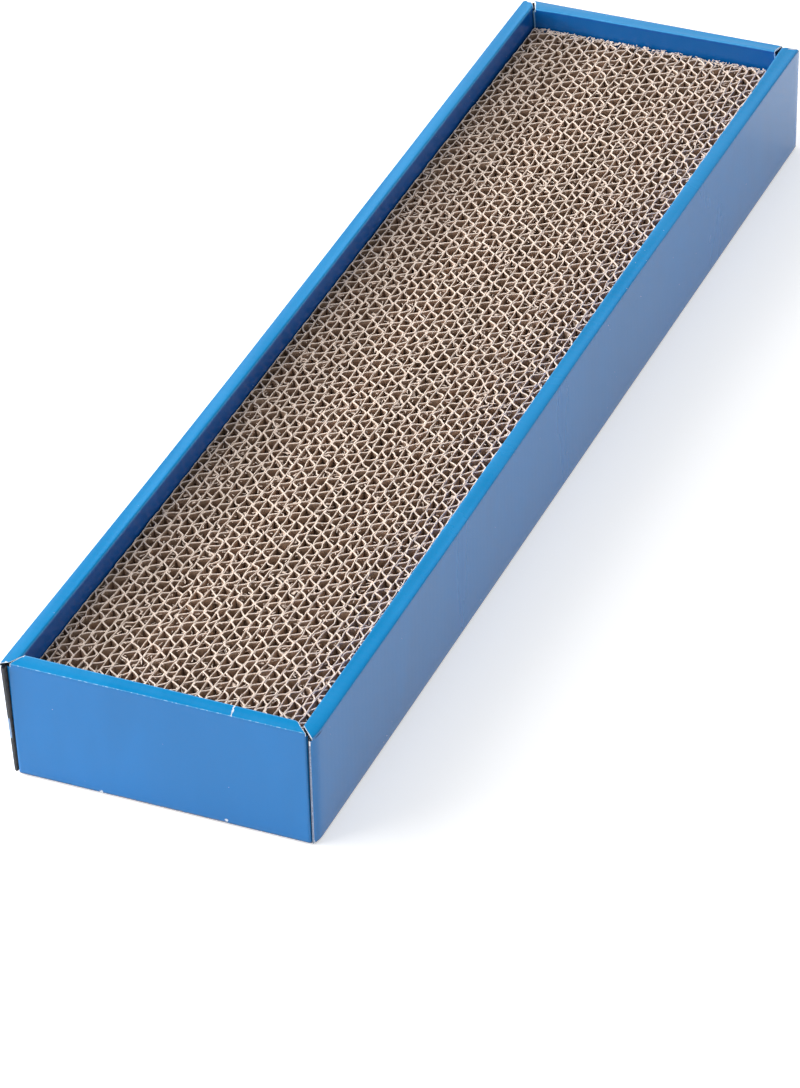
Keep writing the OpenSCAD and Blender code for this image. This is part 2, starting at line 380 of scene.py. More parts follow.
# Brown corrugating paper whose sawn top edge is paler and fuzzy: tone by depth below the cut, by fibres
# that run down the sheet, and a faint line at every flute that is glued behind a liner.
def corrugatedPaper(look):
    f = newFinish("corrugatedPaper")
    place = f.place()
    depth, tint = f.attribute("depth"), f.attribute("tint")
    fibre = f.noise(f.stretched(look["stretch"]), *look["fibre"])
    spot = f.noise(place, *look["spot"])
    line = (f.axes(place)[1] * (2 * math.pi / look["flute"])).sine()
    tone = f.fade(fibre + tint * look["tint"] + line * look["line"], *look["fibres"])
    fray = f.fade(depth + (spot - 0.5) * look["ragged"], *look["fuzz"], 1.0, 0.0)
    colour = f.mix(f.mix(look["shade"], look["wall"], tone), look["edge"], fray)
    normal = f.bump(fibre + spot * look["spotHeight"] + line * look["lineHeight"], *look["bump"])
    return f.surface(Base_Color=colour, Roughness=f.fade(spot, *look["roughFrom"], *look["rough"]),
                     Normal=normal, Specular_IOR_Level=look["shine"])


wallInk, rimInk, insideInk = (printedInk(inkLook, part) for part in ("wall", "rim", "inside"))
rawFinish = rawBoard(rawLook)
cutFinish = cutEdge(cutLook)
paperFinish = corrugatedPaper(padLook)
print("finishes made")


# Collects closed shells into one mesh.
class Shells:
    def __init__(self):
        self.points, self.faces, self.slots, self.marks = [], [], [], {}
        self.count = 0

    # points (n, 3) in mm, faces a list of index arrays, slots one material number for each array;
    # a shell whose signed volume (the sum of a . (b x c) over its triangles) is negative is turned
    def add(self, points, faces, slots, marks):
        triangles = np.concatenate([
            group[:, [0, i, i + 1]] for group in faces for i in range(1, group.shape[1] - 1)])
        a, b, c = (points[triangles[:, i]] for i in range(3))
        if np.einsum("ij,ij->i", a, np.cross(b, c)).sum() < 0:
            faces = [group[:, ::-1] for group in faces]
        for group, slot in zip(faces, slots):
            self.faces += (group + self.count).tolist()
            self.slots += [slot] * len(group)
        self.points.append(points)
        for key, values in marks.items():
            self.marks.setdefault(key, []).append(np.asarray(values, float).ravel())
        self.count += len(points)

    def piece(self, name, materials, body, nodes, sharp=38):
        mesh = bpy.data.meshes.new(name)
        mesh.from_pydata((np.concatenate(self.points) * mm).tolist(), [], self.faces)
        for finish in materials:
            mesh.materials.append(finish)
        mesh.polygons.foreach_set("material_index", self.slots)
        mesh.polygons.foreach_set("use_smooth", [True] * len(self.faces))
        for key, values in self.marks.items():
            mesh.attributes.new(key, "FLOAT", "POINT").data.foreach_set(
                "value", np.concatenate(values).astype(np.float32))
        mesh.update()
        mesh.set_sharp_from_angle(angle=math.radians(sharp))
        made = bpy.data.objects.new(name, mesh)
        bpy.context.scene.collection.objects.link(made)
        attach(made, body)
        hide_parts(*nodes)


# Quads of a closed ring carried through stations, and the two end faces.
def ringFaces(stations, ring):
    i, j = np.meshgrid(np.arange(stations - 1), np.arange(ring), indexing="ij")
    k = (j + 1) % ring
    quads = np.stack([i * ring + j, i * ring + k, (i + 1) * ring + k, (i + 1) * ring + j], -1).reshape(-1, 4)
    caps = np.stack([np.arange(ring)[::-1], np.arange(ring) + (stations - 1) * ring])
    return quads, caps


# Random values at knots one spacing apart, joined by half cosine waves.
def smoothNoise(generator, places, spacing, spread):
    low = places.min() - spacing
    knots = generator.normal(0, spread, int((places.max() - low) / spacing) + 3)
    t = (places - low) / spacing
    i = np.floor(t).astype(int)
    blend = (1 - np.cos(np.pi * (t - i))) / 2
    return knots[i] * (1 - blend) + knots[i + 1] * blend


# Each side has its own frame in mm: u along it, n inwards from its outer face, z up.
# flare, foot: how far the top and the bottom stand out, as knots (u, mm); rim: the rim's width;
# curl: how far a long wall's cut ends turn in at the foot and at the top, rimCurl: the same for its rim;
# tilt: how far the rim's outer crease lies below the inner one; wear: lost ink at the crease, 0 to 1.
tray = {"height": 48.5, "board": 1.5, "rimUnder": 47.0, "foot": 1.5, "outerCrease": 0.35, "innerCrease": 0.22,
        "halfLength": 245.0, "order": 6, "under": 0.7, "straight": 3.0, "rawTop": 40.0, "rawRows": 6,
        "flatRows": 8, "step": 2.5, "crowd": (0.25, 0.6, 1.1, 1.8, 3.2), "rows": 14, "arcPoints": 6,
        "thinReach": 3.0, "curlReach": 5.0, "rimCurlReach": 8.0, "endRadius": 0.9, "footReach": 20.0,
        "sag": 0.05, "waves": ((0.04, 31.0), (0.03, 12.3)), "wavePhase": 1.7, "innerUpright": 38.0}
sides = {
    "left": {"axis": 0, "sign": -1, "half": 60.0, "wear": 0.35, "tilt": 0.18, "fold": 0.95,
             "flare": ((-245, -235, -200, -170, -140, -80, -40, 0, 40, 80, 140, 200, 245),
                       (2.00, 1.95, 1.52, 1.08, 0.75, 0.52, 0.48, 0.51, 0.62, 0.82, 1.15, 1.42, 1.50)),
             "foot": ((-245, 245), (0.1, 0.0)),
             "rim": ((-245, -200, 0, 200, 245), (6.05, 6.05, 6.05, 5.95, 5.90)),
             "curl": {"near": (0.0, 0.9), "far": (0.2, 0.5)}, "rimCurl": (0.1, 0.0),
             "thin": {"near": (0.7, 0.45), "far": (0.4, 0.4)}},
    "right": {"axis": 0, "sign": 1, "half": 60.0, "wear": 0.0, "tilt": 0.34,
              "flare": ((-245, -200, -150, -110, -80, -40, 0, 40, 110, 170, 215, 245),
                        (1.75, 1.70, 1.62, 1.45, 1.18, 0.80, 0.52, 0.50, 0.60, 0.80, 1.15, 1.45)),
              "foot": ((-245, -100, 0, 245), (0.1, -0.1, -0.25, -0.35)),
              "rim": ((-245, -150, -110, -40, 0, 40, 110, 170, 210, 235, 245),
                      (6.45, 6.40, 6.25, 6.00, 5.90, 6.00, 6.15, 6.35, 6.15, 6.95, 7.20)),
              "curl": {"near": (1.1, 1.4), "far": (0.0, 0.4)}, "rimCurl": (0.9, 0.0),
              "thin": {"near": (0.75, 0.95), "far": (0.4, 0.4)}},
    "front": {"axis": 1, "sign": -1, "half": 245.0, "wear": 1.0, "tilt": 0.22,
              "flare": ((-60, 0, 60), (-1.8, -1.85, -1.85)), "foot": ((-60, 0, 60), (0.35, 0.25, 0.35)),
              "rim": ((-60, 0, 50, 60), (6.40, 5.97, 5.57, 5.60))},
    "back": {"axis": 1, "sign": 1, "half": 245.0, "wear": 0.3, "tilt": 0.32, "fold": 0.5,
             "flare": ((-60, 0, 60), (-0.2, -0.35, -0.4)), "foot": ((-60, 60), (0.0, 0.0)),
             "rim": ((-60, -50, -45, -30, -20, 0, 20, 40, 50, 60),
                     (7.0, 6.8, 6.45, 6.25, 6.35, 6.2, 5.95, 5.6, 5.6, 5.65))},
}


# A polynomial of limited order, fitted to the knots by least squares, in u as a share of half the length.
def smoothed(knots, u):
    places, values = (np.array(v, float) for v in knots)
    order, scale = min(len(places) - 1, tray["order"]), tray["halfLength"]
    return np.polyval(np.polyfit(places / scale, values, order), u / scale)


# How far a point of that side stands outside its CAD place: foot at the floor, flare at the top.
def leanOut(side, u, z):
    share = np.clip(z / tray["height"], 0, 1)
    return smoothed(side["foot"], u) * (1 - share) + smoothed(side["flare"], u) * share


# From (n, u, z) of a side to x, y, z: its outer face lies half out from the middle, plus its lean.
def sidePoints(side, n, u, z):
    points = np.stack([u, u, z], -1).astype(float)
    points[..., side["axis"]] = side["sign"] * (side["half"] - n + leanOut(side, u, z))
    return points


# Carries a closed profile of (n, z) along the side. ends gives u at both ends for each (n, z), and shape
# moves n and z as u goes on. Stations crowd near both ends.
def sweep(shells, side, profile, ends, marks, inkFaces=None, shape=None, bodySlot=1, capSlot=2,
          stations=None):
    n, z = (np.array(v, float) for v in zip(*profile))
    start, stop = ends(n, z)
    length = float(np.max(stop) - np.min(start))
    t = np.linspace(0, 1, (stations or max(int(length / tray["step"]), 2)) + 1)
    crowd = np.array(tray["crowd"]) / length
    t = np.unique(np.concatenate([t, crowd, 1 - crowd]))[:, None]
    u = start[None] * (1 - t) + stop[None] * t
    n, z = np.broadcast_to(n, u.shape), np.broadcast_to(z, u.shape)
    across, layer = marks(n, z)
    toEnd = np.minimum(u - start[None], stop[None] - u)
    toFold = np.max(n) - n + np.maximum(tray["height"] - z, 0)
    if shape:
        n, z = shape(n, z, u, start[None], stop[None])
    points = sidePoints(side, n, u, z)
    quads, caps = ringFaces(*u.shape)
    faces, slots = [quads, caps], [bodySlot, capSlot]
    if inkFaces is not None:  # which profile edges carry the print
        printed = np.isin(np.tile(np.arange(u.shape[1]), u.shape[0] - 1), inkFaces)
        faces, slots = [quads[printed], quads[~printed], caps], [0, bodySlot, capSlot]
    shells.add(points.reshape(-1, 3), faces, slots, {
        "across": across * mm + 0 * u, "layer": layer + 0 * u, "along": u * mm, "wear": side["wear"] + 0 * u,
        "toEnd": toEnd * mm, "toFold": toFold * mm + 0 * u})


# Points on a circle in the (n, z) plane, from the first to the last angle in degrees.
def arc(cn, cz, radius, first, last, count):
    angle = np.radians(np.linspace(first, last, count))
    return list(zip(cn + radius * np.cos(angle), cz + radius * np.sin(angle)))


# How far the cut ends turn in: by amount at the end, dying away with the square over reach mm.
def curlIn(amount, gap, reach):
    return amount * np.clip(1 - gap / reach, 0, 1) ** 2


# where the outer walls' raw or folded ends lie: u at the foot and at the top
wallEnds = {
    "left": {"near": (-244.5, -245.0), "far": (244.8, 243.8)},
    "right": {"near": (-244.8, -245.1), "far": (244.2, 245.2)},
    "front": {"near": (-58.15, -59.8), "far": (57.9, 58.1)},
    "back": {"near": (-57.8, -58.0), "far": (57.8, 58.0)},
}


# A flat board from floor to rim with a rounded foot. A cut end is pressed thinner and curls in; a folded
# end turns in on a quarter circle, n = radius - sqrt(radius^2 - (radius - gap)^2).
def outerWall(name):
    side, ends = sides[name], wallEnds[name]
    top, board, r = tray["rimUnder"], tray["board"], tray["under"]
    profile = arc(r, r, r, 270, 180, tray["arcPoints"])
    profile += [(0, h) for h in np.linspace(tray["straight"], top, tray["rows"])]
    inked = list(range(len(profile) - 1))
    profile += [(board, top)] + [(board, h) for h in np.linspace(tray["rawTop"], 0, tray["rawRows"])]

    def endLines(n, z):
        share = z / tray["height"]
        return tuple(ends[k][0] * (1 - share) + ends[k][1] * share for k in ("near", "far"))

    def crush(n, z, u, start, stop):
        gap = np.minimum(u - start, stop - u)
        share = np.clip(z / tray["height"], 0, 1)
        if side["axis"] == 0:
            squeeze, turned = 0.0, 0.0
            for end, away in (("near", u - start), ("far", stop - u)):
                (thinLow, thinHigh), (low, high) = side["thin"][end], side["curl"][end]
                squeeze = squeeze + curlIn(thinLow * (1 - share) + thinHigh * share, away, tray["thinReach"])
                turned = turned + curlIn(low * (1 - share) + high * share, away, tray["curlReach"])
            return np.where(n > board / 2, n - squeeze, n) + turned, z
        radius = tray["endRadius"]
        turn = radius - np.sqrt(np.maximum(radius ** 2 - np.clip(radius - gap, 0, radius) ** 2, 0))
        # its raw face keeps off the floor board
        foot = smoothed(side["foot"], u) * np.clip(1 - z / tray["footReach"], 0, 1)
        return np.where(n < board / 2, n + turn * (1 - n), n + foot), z

    shells = Shells()
    sweep(shells, side, profile, endLines, lambda n, z: (z - tray["height"], n / board),
          inkFaces=inked, shape=crush)
    shells.piece(name + "Wall", [wallInk, rawFinish, cutFinish], "tray", [name + "_outer_wall"])


# where the rims' ends lie, as knots of n and u: they don't quite meet at the mitres
rimEnds = {
    "left": {"near": ((0, 3.35, 6.05), (-244.0, -242.75, -237.45)),
             "far": ((0, 0.6, 2.2, 3.6, 4.8, 6.05), (241.9, 243.0, 243.8, 242.8, 241.3, 239.7))},
    "right": {"near": ((0, 3.7, 6.45), (-244.8, -241.85, -239.35)),
              "far": ((0, 0.6, 2.3, 4.75, 6.2, 6.45), (243.3, 244.3, 244.1, 243.7, 242.9, 241.9))},
    "front": {"near": ((0, 0.7, 6.4), (-58.3, -58.3, -55.3)),
              "far": ((0, 3.16, 5.7, 6.4), (57.75, 54.7, 52.65, 51.1))},
    "back": {"near": ((0, 0.6, 2.0, 7.0), (-57.5, -56.8, -55.9, -54.1)),
             "far": ((0, 1.2, 3.5, 7.0), (53.8, 53.4, 52.8, 52.6))},
}


def rimWidth(side, u):
    return np.interp(u, *side["rim"])


# A strip with two rounded creases; its width follows the knots, it slopes down to its outer crease by
# tilt * (1 - n / w), and two sine waves make it slightly uneven.
def rimStrip(name):
    side, ends = sides[name], rimEnds[name]
    top, under, outer = tray["height"], tray["rimUnder"], tray["outerCrease"]
    inner, w = side.get("fold", tray["innerCrease"]), side["rim"][1][0]
    profile = [(0, under)] + arc(outer, top - outer, outer, 180, 90, tray["arcPoints"])
    profile += [(h, top) for h in np.linspace(outer, w - inner, tray["flatRows"])[1:-1]]
    profile += arc(w - inner, top - inner, inner, 90, 0, tray["arcPoints"]) + [(w, under)]
    inked = list(range(len(profile) - 1))

    def endLines(n, z):
        return tuple(np.interp(n, *ends[k]) for k in ("near", "far"))

    def settle(n, z, u, start, stop):
        lowered = side["tilt"] * (1 - n / w) + tray["sag"]
        (longHigh, longReach), (shortHigh, shortReach) = tray["waves"]
        wave = longHigh * np.sin(u / longReach + n) + shortHigh * np.sin(u / shortReach + tray["wavePhase"])
        near, far = side.get("rimCurl", (0.0, 0.0))
        reach = tray["rimCurlReach"]
        turn = (curlIn(near, u - start, reach) + curlIn(far, stop - u, reach)) * (1 - n / w)
        return n * rimWidth(side, u) / w + turn, np.where(z > under, z - lowered + wave, z)

    shells = Shells()
    sweep(shells, side, profile, endLines, lambda n, z: (n - top + z, (z - under) / tray["board"]),
          inkFaces=inked, shape=settle)
    shells.piece(name + "Rim", [rimInk, rawFinish, cutFinish], "tray", [name + "_rim"])


# innerEnds: u of the inner walls' ends at the foot and at the top; tabs: the middles of the lock tabs
innerWalls = {
    "left": {"near": (-239.5, -237.6), "far": (239.5, 239.2), "tabs": (-158.7, 0.0, 158.7), "deep": 5.2},
    "right": {"near": (-239.5, -239.6), "far": (239.5, 242.4), "tabs": (-158.7, 0.0, 158.7), "deep": 5.2},
    "front": {"near": (-54.4, -54.9), "far": (54.4, 52.6), "tabs": (0.0,), "deep": 7.0},
    "back": {"near": (-54.5, -55.0), "far": (54.4, 52.6), "tabs": (0.0,), "deep": 7.0},
}
lockTab = {"half": 14.0, "low": 0.3, "high": 1.6, "stations": 6, "across": 48.0}


# A board whose top goes with the rim's inner crease while its foot stays in its slots: the shift goes
# from none to all of it with the share of the height.
def innerWall(name):
    side, look, board = sides[name], innerWalls[name], tray["board"]
    deep, top, foot = look["deep"], tray["rimUnder"], tray["foot"]
    profile = [(deep - board, foot), (deep - board, top)]
    profile += [(deep, h) for h in np.linspace(top, foot, tray["rows"])]
    inked = list(range(1, len(profile) - 1))
    w = side["rim"][1][0]

    def endLines(n, z):
        share = np.clip((z - tray["innerUpright"]) / (top - tray["innerUpright"]), 0, 1)
        return tuple(look[k][0] * (1 - share) + look[k][1] * share for k in ("near", "far"))

    def follow(n, z, u, start, stop):
        share = np.clip((z - foot) / (top - foot), 0, 1)
        return n + (rimWidth(side, u) - deep) * share - leanOut(side, u, z) * -(1 - share), z

    shells = Shells()
    sweep(shells, side, profile, endLines, lambda n, z: (w + top + board - z, (n - deep + board) / board),
          inkFaces=inked, shape=follow)
    tab = [(deep - board, lockTab["low"]), (deep - board, lockTab["high"]),
           (deep, lockTab["high"]), (deep, lockTab["low"])]
    for middle in look["tabs"]:
        sweep(shells, side, tab,
              lambda n, z: (n * 0 + middle - lockTab["half"], n * 0 + middle + lockTab["half"]),
              lambda n, z: (w + lockTab["across"] + 0 * n, (n - deep + board) / board), bodySlot=2,
              shape=lambda n, z, u, start, stop: (n + leanOut(side, u, z), z), stations=lockTab["stations"])
    shells.piece(name + "InnerWall", [insideInk, rawFinish, cutFinish], "tray", [name + "_inner_wall"])


# outer and inner: its faces' depths in the long wall; at: where the end wall's lean is read;
# away: puts it out of the reach of the crease's marks
flap = {"outer": 2.2, "inner": 3.7, "foot": 1.5, "top": 45.0, "end": 205.5, "fold": 243.5, "lean": 0.85,
        "at": 58.0, "parts": 8, "low": 6.0, "away": 80.0}


# A flap folded back from an end wall, inside the hollow long wall, and leaning with it.
def dustFlap(endName, name):
    side, end = sides[name], sides[endName]
    sign = end["sign"]
    outer, inner = flap["outer"], flap["inner"]
    profile = [(outer, flap["foot"])]
    profile += [(outer, h) for h in np.linspace(flap["low"], flap["top"], flap["parts"])]
    inked = list(range(len(profile) - 1))
    profile += [(inner, h) for h in np.linspace(flap["top"], flap["foot"], flap["parts"])]

    def endLines(n, z):
        fold = sign * (flap["fold"] + leanOut(end, np.full_like(z, flap["at"]), z))
        return (fold, n * 0 - flap["end"]) if sign < 0 else (n * 0 + flap["end"], fold)

    shells = Shells()
    sweep(shells, side, profile, endLines, lambda n, z: (z - flap["away"], (n - outer) / tray["board"]),
          inkFaces=inked, stations=flap["parts"],
          shape=lambda n, z, u, start, stop: (n + leanOut(side, u, z) * (1 - flap["lean"]), z))
    shells.piece(f"{endName}_{name}Flap", [wallInk, rawFinish, cutFinish], "tray", [f"{endName}_{name}_flap"])


for name in sides:
    outerWall(name)
    rimStrip(name)
    innerWall(name)
for endName in ("front", "back"):
    for name in ("left", "right"):
        dustFlap(endName, name)

floorLook = {
    "dark": (0.22, 0.19, 0.165), "pale": (0.36, 0.32, 0.28), "rubbed": (0.35, 0.42, 0.5),
    "stretch": (1, 0.25, 1), "fibre": (0.0016, 4.0, 0.65, 0.3), "fibres": (0.3, 0.6),
    "cloud": (0.03,), "cloudy": (0.3, 0.7), "rub": (0.004, 5.0, 0.7), "rubs": (0.66, 0.74), "rubShare": 0.6,
    "under": (0.0002, 0.0004), "rough": (0.85, 0.4), "bump": (0.15, 0.0003),
}


# The bottom panel keeps its CAD shape: ink below, bare board above, told apart by height.
def floorBoard(look):
    f = newFinish("floorBoard")
    place = f.place()
    z = f.axes(place)[2]
    fibre = f.noise(f.stretched(look["stretch"]), *look["fibre"])
    bare = f.mix(look["dark"], look["pale"], f.fade(fibre, *look["fibres"]))
    ink = f.mix(*inkLook["tones"]["wall"], f.fade(f.noise(place, *look["cloud"]), *look["cloudy"]))
    rubs = f.fade(f.noise(place, *look["rub"]), *look["rubs"], 0.0, look["rubShare"])
    ink = f.mix(ink, look["rubbed"], rubs)
    below = f.fade(z, *look["under"], 1.0, 0.0)
    return f.surface(Base_Color=f.mix(bare, ink, below), Roughness=f.fade(below, 0.0, 1.0, *look["rough"]),
                     Normal=f.bump(fibre, *look["bump"]))


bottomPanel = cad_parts["bottom_panel"].data
bottomPanel.materials.clear()
bottomPanel.materials.append(floorBoard(floorLook))
print("tray made")

# widths: a sheet's thickness at each depth, as a share: the saw leaves a burr with a worn top
# corners: where a flute leaves and reaches its liners, in shares of its pitch
pad = {
    "strips": 14, "first": -54.02, "pitch": 7.72, "near": -236.1, "far": 237.3, "foot": 1.5, "top": 40.0,
    "liner": 0.20, "middle": 0.34, "flute": 0.40, "low": 3.14, "high": 3.84,
    "depths": (0.0, 0.12, 0.45, 1.0, 2.0, 3.8, 8.0, 38.5),
    "fluteWidths": (0.85, 1.45, 1.15, 1.0, 1.0, 1.0, 1.0, 1.0),
    "linerWidths": (0.9, 1.25, 1.05, 1.0, 1.0, 1.0, 1.0, 1.0),
    "corners": (0, 0.18, 0.44, 0.675, 0.94, 1), "roundness": 0.14,
    "legs": (0.0, 0.09, 0.165, 0.195, 0.25, 0.31, 0.37, 0.425, 0.455,
             0.56, 0.66, 0.69, 0.75, 0.81, 0.87, 0.925, 0.955),
    "drift": ((-54, -40, -27, -10, 0, 18, 35, 47, 54), (0, 0.45, 0.8, 1.05, 1.35, 1.5, 1.1, 0.6, 0)),
    "slide": ((-240, -221, -195, -169, -143, -100, 0, 60, 100, 143, 180, 221, 240),
              (-2.35, -1.9, -1.35, -0.5, -0.12, -0.08, 0.0, -0.12, -0.25, -0.45, -0.5, -0.42, -0.35)),
    "slideAt": ((-54, -44), (0.5, 1.0)),
    "flutes": [(7.94, 6.7), (8.65, 2.2), (7.95, 4.0), (8.65, 4.7),
               (7.95, 0.2), (8.63, 5.6), (7.95, 5.0), (8.62, 6.5),
               (7.95, 3.6), (8.62, 7.9), (7.95, 6.6), (8.65, 5.3),
               (7.94, 2.7), (8.63, 8.1), (7.94, 7.1), (8.59, 8.1),
               (7.94, 4.5), (8.55, 1.7), (7.95, 1.2), (8.61, 0.8),
               (7.93, 6.2), (8.63, 0.5), (7.94, 2.3), (8.61, 3.1),
               (7.94, 6.7), (8.57, 4.0), (7.94, 1.7), (8.60, 7.0)],
    "wisps": 190, "scraps": 60, "ends": 26, "seed": 731, "side": 53.9, "sheetPast": 0.2,
    "bendReach": 2.0, "bendPower": 1.5, "bendDrop": 0.22, "points": 301, "lastNear": 1.3,
    "linerTop": -0.08, "fluteTop": -0.05, "middleLean": 0.8, "fluteLean": 1.1, "seamLean": 0.4,
    "seamSeed": 5000, "seedStep": 17, "outerSway": 0.5, "outerLean": 0.6, "squeeze": (-0.12, 0.30),
    "nearUneven": (0.0, 0.5), "farUneven": (0.0, 0.5), "endReach": 1.0, "endUneven": (-0.9, 0.1),
    "tints": (-0.5, 1.0), "lead": 1.3, "glued": 0.2,
    "rootsNear": 3.0, "rootsFar": 2.0, "rootsSide": 0.8, "endsFrom": 2.5,
}

# the pad's unevenness, as pairs for smoothNoise: spacing and spread in mm; along a flute, spacing is in waves
waver = {
    "seam": ((4.1, 0.07), (28, 0.16)), "seamLean": (3.4, 0.17), "middle": ((4.1, 0.08), (28, 0.15)),
    "middleLean": (3.6, 0.22), "harm": (35, 1.0), "linerTop": (2.4, 0.15),
    "flute": (0.5, 0.12), "fluteTop": (0.23, 0.17), "worn": (30, 1.0), "fluteLean": (0.21, 0.32),
}

# torn fibres, as (low, high) in mm; at: how far below the top they root; depth: where their tone is taken
fibres = {
    "wisps": {"lengths": (0.8, 2.4), "widths": (0.15, 0.45), "lift": (-0.1, 0.35),
              "at": (0.1, 0.9), "depth": 0.0},
    "scraps": {"lengths": (1.2, 2.8), "widths": (0.6, 1.6), "lift": (-0.3, 0.4),
               "at": (0.2, 1.2), "depth": 0.2},
    "ends": {"lengths": (0.8, 1.8), "widths": (0.3, 0.9), "lift": (-0.2, 0.9),
             "at": (-0.1, 0.9), "depth": 0.0},
}
ribbon = {"stations": 5, "curl": 0.5, "fall": 0.8, "taper": 0.7, "halfThick": 0.07, "tint": 0.5,
          "farPast": 0.4}


# How far the tops of the strips have slid sideways, less so at the left wall.
def topSlide(x, y):
    return np.interp(y, *pad["slide"]) * np.interp(x, *pad["slideAt"])


# A paper sheet that stands on its edge. Its path (x, y) is offset by half its thickness along the normal
# (dy, -dx) / length to both hands, and goes down in rows. bend pushes the top sideways along the normal by
# bend * exp(-(depth / bendReach)^bendPower), and lowers it a little with the square of the push.
def sheetShell(shells, x, y, thick, widths, topZ, bend, tint):
    rows = np.array(pad["depths"])
    dx, dy = np.gradient(x), np.gradient(y)
    length = np.hypot(dx, dy) + 1e-9
    nx, ny = (dy / length)[:, None], (-dx / length)[:, None]
    depth = rows[None, :] * np.ones((len(x), 1))
    z = topZ[:, None] - depth
    z[:, -1] = pad["foot"]
    push = bend[:, None] * np.exp(-((depth / pad["bendReach"]) ** pad["bendPower"]))
    z = z - push ** 2 * pad["bendDrop"]
    hands = []
    for hand in (1, -1):
        offset = push + hand * thick / 2 * np.array(widths)
        hands.append(np.stack([x[:, None] + nx * offset, y[:, None] + ny * offset, z], -1))
    ring = np.concatenate([hands[0], hands[1][:, ::-1]], 1)
    widest = pad["side"] + pad["sheetPast"]
    ring[..., 0] = np.clip(ring[..., 0], -widest, widest)
    ring[..., 0] += topSlide(ring[..., 0], ring[..., 1]) * ring[..., 2] / pad["top"]
    marks = np.concatenate([depth, depth[:, ::-1]], 1)
    quads, caps = ringFaces(ring.shape[0], ring.shape[1])
    shells.add(ring.reshape(-1, 3), [quads, caps], [0, 0],
               {"depth": marks * mm, "tint": np.full(marks.size, tint)})


# Torn fibres: thin curled ribbons. Each leaves its root along a heading, veers sideways with the square of
# its length, and rises and falls on a parabola.
def ribbons(shells, generator, roots, look):
    count = len(roots)
    stations = np.linspace(0, 1, ribbon["stations"])[None, :, None]
    heading = generator.uniform(0, 2 * np.pi, count)
    flat = np.stack([np.cos(heading), np.sin(heading), np.zeros(count)], -1)
    length = generator.uniform(*look["lengths"], count)[:, None, None]
    rise = generator.uniform(*look["lift"], count)[:, None, None]
    curl = generator.normal(0, ribbon["curl"], (count, 1, 1))
    sideways = np.stack([-flat[:, 1], flat[:, 0], np.zeros(count)], -1)[:, None, :]
    path = roots[:, None, :] + length * (stations * flat[:, None, :] + curl * stations ** 2 * sideways)
    path[..., 2] += (length * (rise * stations - ribbon["fall"] * rise * stations ** 2))[..., 0]
    width = generator.uniform(*look["widths"], count)[:, None, None] * (1 - ribbon["taper"] * stations)
    up = np.array([0, 0, ribbon["halfThick"]])
    ring = np.stack([path + sideways * width / 2 + up, path - sideways * width / 2 + up,
                     path - sideways * width / 2 - up, path + sideways * width / 2 - up], 2)
    ring[..., 0] = np.clip(ring[..., 0], -pad["side"], pad["side"])
    ring[..., 1] = np.clip(ring[..., 1], pad["near"], pad["far"] + ribbon["farPast"])
    ring[..., 0] += topSlide(ring[..., 0], ring[..., 1])
    quads, caps = ringFaces(ribbon["stations"], 4)
    base = (np.arange(count) * 4 * ribbon["stations"])[:, None, None]
    marks = np.ones(ring.size // 3)
    faces = [(group[None] + base).reshape(-1, 4) for group in (quads, caps)]
    shells.add(ring.reshape(-1, 3), faces, [0, 0],
               {"depth": marks * look["depth"] * mm, "tint": marks * ribbon["tint"]})


# How a glued seam between two strips wanders and how its top leans; the outermost only go inwards.
def seamDrift(k, y):
    g = np.random.default_rng(pad["seed"] + pad["seamSeed"] + k)
    sway = sum(smoothNoise(g, y, *pair) for pair in waver["seam"])
    lean = np.clip(smoothNoise(g, y, *waver["seamLean"]), -pad["seamLean"], pad["seamLean"])
    if k in (0, pad["strips"]):
        inward = 1 if k == 0 else -1
        sway, lean = inward * np.abs(sway) * pad["outerSway"], inward * np.abs(lean) * pad["outerLean"]
    return sway, lean


# How battered each stretch of a sheet is: a half, plus half the square of a smooth noise.
def battered(generator, places, pair):
    return 0.5 + 0.5 * smoothNoise(generator, places, *pair) ** 2


